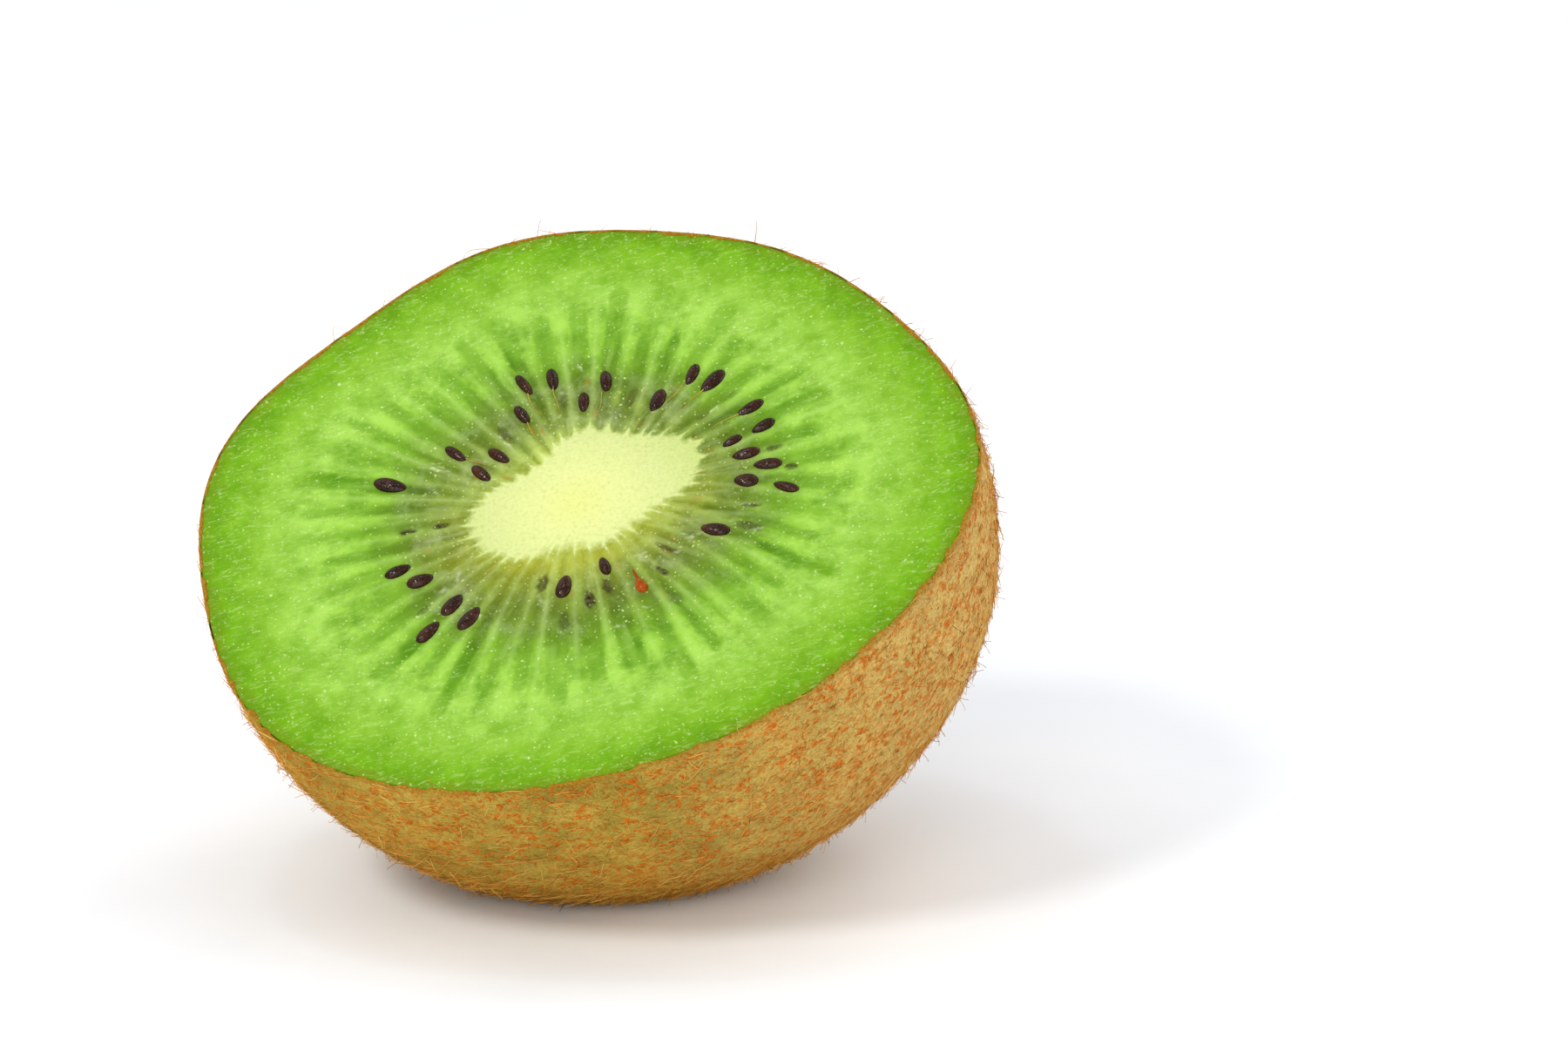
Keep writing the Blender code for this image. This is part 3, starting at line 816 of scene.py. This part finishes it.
def hair_kind(name, reach, rise, curl, hook):
    """A hair one millimetre long, growing along X with its root at the origin."""
    t = np.linspace(0, 1, HAIR_RINGS + 1)
    furthest = max(math.sin(math.pi / 2 * min(1, 1 + hook)), 0.5)
    out = reach * np.sin(t * math.pi / 2 * (1 + hook)) / furthest
    line = np.stack([out, curl * np.sin(t * math.pi * 0.8), rise * np.sin(t * math.pi * 0.75) + 0.01], axis=1)
    aside, up = np.array((0, 1, 0)), np.array((0, 0, 1))
    corners, faces = tapered_tube(line, HAIR_THICKNESS, HAIR_TAPER, HAIR_SIDES, aside, up)
    mesh = bpy.data.meshes.new(name)
    mesh.from_pydata([tuple(corner * MM) for corner in corners], [], faces)
    mesh.polygons.foreach_set("use_smooth", [True] * len(faces))
    return bpy.data.objects.new(name, mesh)


# Dried hair: dull, gold to tobacco brown, each one its own tone.
hair, tree, shader = material_for("dried_golden_hair", Roughness=0.8, IOR=1.5, Specular_IOR_Level=0.02)
hair_tone = node(tree, "ShaderNodeAttribute", attribute_name="tone").outputs["Fac"]
hair_tint = node(
    tree, "ShaderNodeValToRGB", {"Fac": hair_tone},
    stops=((0.0, "#6a3a10"), (0.3, "#b06c18"), (0.65, "#d6983a"), (1.0, "#f4c46a")),
)
tree.links.new(shown(hair_tint), shader.inputs["Base Color"])

fur = bpy.data.node_groups.new("fur", "GeometryNodeTree")
SOCKETS = (
    ("Skin", "NodeSocketGeometry"),
    ("Kinds", "NodeSocketCollection"),
    ("Hairs per square metre", "NodeSocketFloat"),
    ("Shortest", "NodeSocketFloat"),
    ("Longest", "NodeSocketFloat"),
    ("Disorder", "NodeSocketFloat"),
    ("Darkest", "NodeSocketFloat"),
    ("Palest", "NodeSocketFloat"),
    ("Chance", "NodeSocketInt"),
    ("Finish", "NodeSocketMaterial"),
)
ids = {}
for name, kind in SOCKETS:
    ids[name] = fur.interface.new_socket(name=name, in_out="INPUT", socket_type=kind).identifier
fur.interface.new_socket(name="Hairs", in_out="OUTPUT", socket_type="NodeSocketGeometry")
given = node(fur, "NodeGroupInput").outputs
grows = node(fur, "GeometryNodeInputNamedAttribute", {"Name": "growth"}, data_type="FLOAT")
thickly = node(fur, "ShaderNodeMath", {0: given["Hairs per square metre"], 1: grows}, operation="MULTIPLY")
roots = {"Mesh": given["Skin"], "Density": thickly, "Seed": given["Chance"]}
roots = node(fur, "GeometryNodeDistributePointsOnFaces", roots)
upward = roots.outputs["Normal"]

# Hairs lie round the fruit, each astray by its own amount.
lies = node(fur, "ShaderNodeVectorMath", {0: upward, 1: (0, 0, 1)}, operation="CROSS_PRODUCT")
lies = node(fur, "ShaderNodeVectorMath", {0: lies}, operation="NORMALIZE")
astray = {0: (-1, -1, -1), 1: (1, 1, 1), "Seed": given["Chance"]}
astray = node(fur, "FunctionNodeRandomValue", astray, data_type="FLOAT_VECTOR")
astray = node(fur, "ShaderNodeVectorMath", {0: astray, "Scale": given["Disorder"]}, operation="SCALE")
lies = node(fur, "ShaderNodeVectorMath", {0: lies, 1: astray}, operation="ADD")
turned = {"Primary Axis": upward, "Secondary Axis": lies}
turned = node(fur, "FunctionNodeAxesToRotation", turned, primary_axis="Z", secondary_axis="X")
kinds = {"Collection": given["Kinds"], "Separate Children": True, "Reset Children": True}
kinds = node(fur, "GeometryNodeCollectionInfo", kinds)
any_kind = node(fur, "FunctionNodeRandomValue", {4: 0, 5: 5, "Seed": 3}, data_type="INT")
length = {2: given["Shortest"], 3: given["Longest"], "Seed": 4}
length = node(fur, "FunctionNodeRandomValue", length, data_type="FLOAT")
planted = {
    "Points": roots, "Instance": kinds, "Pick Instance": True, "Instance Index": any_kind,
    "Rotation": turned, "Scale": length,
}
planted = node(fur, "GeometryNodeInstanceOnPoints", planted)
tone = {2: given["Darkest"], 3: given["Palest"], "Seed": 5}
tone = node(fur, "FunctionNodeRandomValue", tone, data_type="FLOAT")
toned = {"Geometry": planted, "Name": "tone", "Value": tone}
toned = node(fur, "GeometryNodeStoreNamedAttribute", toned, data_type="FLOAT", domain="INSTANCE")
whole = node(fur, "GeometryNodeRealizeInstances", {"Geometry": toned})
finished = node(fur, "GeometryNodeSetMaterial", {"Geometry": whole, "Material": given["Finish"]})
node(fur, "NodeGroupOutput", {"Hairs": finished})

# Each kind of hair is five shapes: how far each reaches, rises, curls and hooks.
FELT_SHAPES = (
    (0.95, 0.10, 0.15, 0.0), (0.9, 0.16, -0.22, 0.0), (0.97, 0.07, 0.05, 0.0), (0.85, 0.20, 0.3, 0.1),
    (0.92, 0.12, -0.1, 0.0),
)
LONG_SHAPES = (
    (0.90, 0.14, 0.28, 0.0), (0.84, 0.20, -0.38, 0.2), (0.95, 0.10, 0.12, 0.0), (0.76, 0.24, 0.46, 0.4),
    (0.88, 0.16, -0.2, 0.1),
)
TALL_SHAPES = (
    (0.55, 0.62, 0.10, 0.3), (0.45, 0.70, -0.20, 0.4), (0.70, 0.50, 0.05, 0.1), (0.50, 0.60, 0.25, 0.5),
    (0.62, 0.58, -0.1, 0.2),
)

# piece, shapes, hairs per square millimetre, shortest and longest in mm,
# disorder, darkest and palest tone, chance
FURS = (
    ("felt_fibres_1", FELT_SHAPES, 1.45, 0.4, 0.9, 1.6, 0.3, 0.8, 1),
    ("felt_fibres_2", FELT_SHAPES, 1.45, 0.4, 0.9, 1.6, 0.3, 0.8, 2),
    ("felt_fibres_3", FELT_SHAPES, 1.45, 0.4, 0.9, 1.6, 0.3, 0.8, 5),
    ("long_hairs", LONG_SHAPES, 1.0, 0.9, 1.9, 1.1, 0.5, 1.0, 3),
    ("standing_hairs", TALL_SHAPES, 0.15, 0.8, 1.5, 1.2, 0.1, 0.8, 4),
)
for piece, shapes, close, shortest, longest, disorder, darkest, palest, chance in FURS:
    shapes_used = bpy.data.collections.new(piece + "_shapes")
    for index, shape in enumerate(shapes):
        shapes_used.objects.link(hair_kind(f"{piece}_shape_{index}", *shape))
    grower = bpy.data.objects.new(piece, peel_mesh)
    bpy.context.scene.collection.objects.link(grower)
    growing = grower.modifiers.new("fur", "NODES")
    growing.node_group = fur
    choices = {
        "Kinds": shapes_used, "Hairs per square metre": close / MM**2, "Shortest": shortest,
        "Longest": longest, "Disorder": disorder, "Darkest": darkest, "Palest": palest,
        "Chance": chance, "Finish": hair,
    }
    for name, value in choices.items():
        growing[ids[name]] = value
    bpy.context.view_layer.update()
    evaluated = grower.evaluated_get(bpy.context.evaluated_depsgraph_get())
    grown = bpy.data.meshes.new_from_object(evaluated)
    grown.name = piece
    bpy.data.objects.remove(grower)
    for shape in list(shapes_used.objects):
        bpy.data.objects.remove(shape)
    bpy.data.collections.remove(shapes_used)
    # Hairs under the fruit are pressed flat on what it stands on.
    spots = np.empty(len(grown.vertices) * 3, np.float32)
    grown.vertices.foreach_get("co", spots)
    spots = spots.reshape(-1, 3)
    spots[:, 2] = np.maximum(spots[:, 2], PRESSED_TO)
    grown.vertices.foreach_set("co", spots.ravel())
    grown.update()
    coat_of_hair = bpy.data.objects.new(piece, grown)
    bpy.context.scene.collection.objects.link(coat_of_hair)
    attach(coat_of_hair, "root")

# ---------------------------------------------------------------- the seeds
# Small hard drops, pointed at the end that was tied to the core, with a
# pitted net over a maroon-black coat. Wet with juice, half sunk in the face.

PIT_SIZE = 0.20  # mm between pits
PIT_DEPTH = 0.03 * MM
PLUMP = 0.05 * MM  # what the rounding took off

# Seed coat: near black, turning maroon in the light, with small hard reflections.
coat, tree, shader = material_for("wet_seed_coat", Roughness=0.06, IOR=1.45, Specular_IOR_Level=0.25)
place = node(tree, "ShaderNodeTexCoord").outputs["Object"]
net = {"Vector": place, "Scale": per(PIT_SIZE)}
net = node(tree, "ShaderNodeTexVoronoi", net, feature="DISTANCE_TO_EDGE")
tone = node(tree, "ShaderNodeTexNoise", {"Vector": place, "Scale": per(1.1), "Detail": 3.0})
coat_colour = node(
    tree, "ShaderNodeValToRGB", {"Fac": tone}, stops=((0.35, "#160803"), (0.6, "#2e1206"), (0.75, "#44200c"))
)
ridge = node(tree, "ShaderNodeMapRange", {"Value": net, "From Min": 0.10, "From Max": 0.0, "To Max": 0.45})
coat_colour = node(tree, "ShaderNodeMix", {0: ridge, 6: coat_colour, 7: linear("#5a3018")}, data_type="RGBA")
tree.links.new(shown(coat_colour), shader.inputs["Base Color"])
bump = node(tree, "ShaderNodeBump", {"Height": net, "Strength": 0.5, "Distance": 0.05 * MM}, invert=True)
tree.links.new(shown(bump), shader.inputs["Normal"])


def finished_copy(node_name, name, levels):
    """A CAD node's shape, joined and rounded off with a subdivision surface."""
    rough = merged_copy(node_name)
    mesh = bpy.data.meshes.new(name + "_rough")
    rough.to_mesh(mesh)
    rough.free()
    shape = bpy.data.objects.new(name + "_rough", mesh)
    bpy.context.scene.collection.objects.link(shape)
    rounding = shape.modifiers.new("rounding", "SUBSURF")
    rounding.levels = rounding.render_levels = levels
    bpy.context.view_layer.update()
    evaluated = shape.evaluated_get(bpy.context.evaluated_depsgraph_get())
    made = bpy.data.meshes.new_from_object(evaluated)
    made.name = name
    bpy.data.objects.remove(shape)
    bpy.data.meshes.remove(mesh)
    made.polygons.foreach_set("use_smooth", [True] * len(made.polygons))
    return made


for name in seed_nodes:
    mesh = finished_copy(name, "pitted_" + name, 2)
    outward = [vertex.normal.copy() for vertex in mesh.vertices]
    for vertex, way_out in zip(mesh.vertices, outward):
        pit = noise.voronoi(vertex.co * per(PIT_SIZE))[0][0]
        vertex.co += way_out * (PLUMP + (0.35 - min(pit, 0.5)) * PIT_DEPTH)
    mesh.materials.append(coat)
    seed = bpy.data.objects.new("pitted_" + name, mesh)
    bpy.context.scene.collection.objects.link(seed)
    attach(seed, "root")
    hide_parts(name)

# --------------------------------------------------------------- the ovule
# One seed that never set: a soft orange bead on its own short stalk, lying
# on the face. Same tissue as the flesh, dried to a rusty orange.

# Ovule: smooth, burnt orange, darker in patches.
bead, tree, shader = material_for("orange_ovule", Roughness=0.2, IOR=1.4, Specular_IOR_Level=0.15)
place = node(tree, "ShaderNodeTexCoord").outputs["Object"]
tone = node(tree, "ShaderNodeTexNoise", {"Vector": place, "Scale": per(0.5), "Detail": 3.0})
orange = node(
    tree, "ShaderNodeValToRGB", {"Fac": tone}, stops=((0.3, "#7c3204"), (0.5, "#984206"), (0.7, "#b45e10"))
)
tree.links.new(shown(orange), shader.inputs["Base Color"])
bump = node(tree, "ShaderNodeBump", {"Height": tone, "Strength": 0.4, "Distance": 0.05 * MM})
tree.links.new(shown(bump), shader.inputs["Normal"])
mesh = finished_copy("stray_ovule", "dried_ovule", 2)
mesh.materials.append(bead)
ovule = bpy.data.objects.new("dried_ovule", mesh)
bpy.context.scene.collection.objects.link(ovule)
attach(ovule, "root")
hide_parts("stray_ovule")

# -------------------------------------------------------------- the threads
# Fine yellow stalks that fed the seeds, running in from their narrow ends
# toward the core. They lie half sunk in the wet face and end in a point.

THREAD_THICKNESS = 0.10  # mm
THREAD_LENGTH = 2.4  # mm, cut short where it would pass the core's edge
THREAD_END = 5.4  # mm from the middle of the face
HALF_SEED = 0.95  # mm
THREAD_RINGS = 12
THREAD_SIDES = 6
THREAD_TAPER = 0.7  # share of its thickness lost before the point
THREAD_WANDER = 0.08  # mm
THREAD_BEARINGS = (100, 90, 70, 42, 35, 19, 108, 140)  # the seed nearest each has a stalk

# Stalks: dull mustard yellow, with brownish stretches, under a film of juice.
stalk, tree, shader = material_for("yellow_seed_stalk", Roughness=0.35, IOR=1.36, Specular_IOR_Level=0.12)
place = node(tree, "ShaderNodeTexCoord").outputs["Object"]
tone = node(tree, "ShaderNodeTexNoise", {"Vector": place, "Scale": per(0.4), "Detail": 3.0})
yellow = node(
    tree, "ShaderNodeValToRGB", {"Fac": tone}, stops=((0.35, "#8c8a28"), (0.5, "#aaa23c"), (0.65, "#a8782a"))
)
tree.links.new(shown(yellow), shader.inputs["Base Color"])

seed_spots = []
for name in seed_nodes:
    low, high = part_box(name)
    middle = (low + high) / 2 - cut_middle
    seed_spots.append((middle.dot(along) / MM, middle.dot(across) / MM))
seed_turns = np.array([math.degrees(math.atan2(spot_y, spot_x)) for spot_x, spot_y in seed_spots])
corners, faces = [], []
for index, wanted in enumerate(THREAD_BEARINGS):
    off = np.abs((seed_turns - wanted + 180) % 360 - 180)
    seed_x, seed_y = seed_spots[int(off.argmin())]
    turn = math.atan2(seed_y, seed_x)
    start = math.hypot(seed_x, seed_y) - HALF_SEED
    inward = np.linspace(start, max(start - THREAD_LENGTH, THREAD_END), THREAD_RINGS)
    wander = THREAD_WANDER * np.sin(np.linspace(0, 5, THREAD_RINGS) + index)
    line_x = inward * math.cos(turn) - wander * math.sin(turn)
    line_y = inward * math.sin(turn) + wander * math.cos(turn)
    line = on_cut(line_x, line_y, 0.0)
    aside = np.array(along) * math.sin(turn) - np.array(across) * math.cos(turn)
    up = np.array(cut_normal)
    tube, sides = tapered_tube(line, THREAD_THICKNESS * MM, THREAD_TAPER, THREAD_SIDES, aside, up)
    faces += [tuple(corner + len(corners) for corner in face) for face in sides]
    corners += tube
mesh = bpy.data.meshes.new("seed_threads")
mesh.from_pydata([tuple(corner) for corner in corners], [], faces)
mesh.polygons.foreach_set("use_smooth", [True] * len(faces))
mesh.materials.append(stalk)
seed_threads = bpy.data.objects.new("seed_threads", mesh)
bpy.context.scene.collection.objects.link(seed_threads)
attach(seed_threads, "root")

# ---------------------------------------------------------- the blossom end
# What the flower left at the far end of the fruit: a low dark ring of dried,
# shrivelled stubs round a small hollow, grown out of the peel.

STUB_REACH = 1.9  # mm from the middle to the outer edge
STUB_RINGS = 26
STUB_COLUMNS = 96

# Dried flower: matt umber, rough and crumbly, paler on the raised parts.
scar, tree, shader = material_for("dried_blossom_remains", Roughness=0.9, IOR=1.4, Specular_IOR_Level=0.03)
place = node(tree, "ShaderNodeTexCoord").outputs["Object"]
tone = {"Vector": place, "Scale": per(0.25), "Detail": 5.0, "Roughness": 0.75}
tone = node(tree, "ShaderNodeTexNoise", tone)
umber = node(
    tree, "ShaderNodeValToRGB", {"Fac": tone}, stops=((0.3, "#2a1a0c"), (0.5, "#5a3c1c"), (0.7, "#8a6232"))
)
tree.links.new(shown(umber), shader.inputs["Base Color"])
bump = node(tree, "ShaderNodeBump", {"Height": tone, "Strength": 0.9, "Distance": 0.1 * MM})
tree.links.new(shown(bump), shader.inputs["Normal"])

stub_turns = np.linspace(0, 2 * math.pi, STUB_COLUMNS, endpoint=False)
stub_turn, stub_reach = np.meshgrid(stub_turns, np.linspace(0.06, STUB_REACH, STUB_RINGS))
stub_x, stub_y = stub_reach * np.cos(stub_turn), stub_reach * np.sin(stub_turn)
leaves = 0.5 + 0.5 * np.cos(stub_turn * 9 + 1.5 * cloud(stub_x + 9, stub_y + 9, 0.8, 31))
ring_of_stubs = np.exp(-(((stub_reach - 1.15) / 0.38) ** 2)) * (0.35 + 0.65 * leaves)
stub_height = 0.1 + 0.9 * ring_of_stubs - 0.5 * step(1.4, STUB_REACH, stub_reach)
stub_height += 0.12 * cloud(stub_x + 9, stub_y + 9, 0.3, 32)
far_depth = skin[-1].mean()


def on_far_end(x, y, height):
    """Points near the skin at the far end, from mm aside of it and mm above it, in metres."""
    down = math.pi / 2 - np.arctan2(np.hypot(x, y) * MM, far_depth)
    turn = np.arctan2(y, x) % (2 * math.pi)
    row = ((down - downs[0]) / (downs[1] - downs[0])).astype(int)
    column = (turn / (2 * math.pi) * SKIN_COLUMNS).astype(int) % SKIN_COLUMNS
    out = (
        (np.cos(turn) * np.cos(down))[..., None] * np.array(along)
        + (np.sin(turn) * np.cos(down))[..., None] * np.array(across)
        - np.sin(down)[..., None] * np.array(cut_normal)
    )
    return np.array(cut_middle) + out * (skin[row, column] + height * MM)[..., None]


stub_points = on_far_end(stub_x, stub_y, stub_height)
under_points = on_far_end(stub_x[-1:] * 0.8, stub_y[-1:] * 0.8, stub_height[-1:] - 0.7)
stub_points = np.concatenate([stub_points, under_points])[::-1]
mesh = grid_mesh("dried_blossom_end", stub_points, under_points[0].mean(0), stub_points[-1].mean(0))
mesh.materials.append(scar)
blossom_end = bpy.data.objects.new("dried_blossom_end", mesh)
bpy.context.scene.collection.objects.link(blossom_end)
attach(blossom_end, "root")
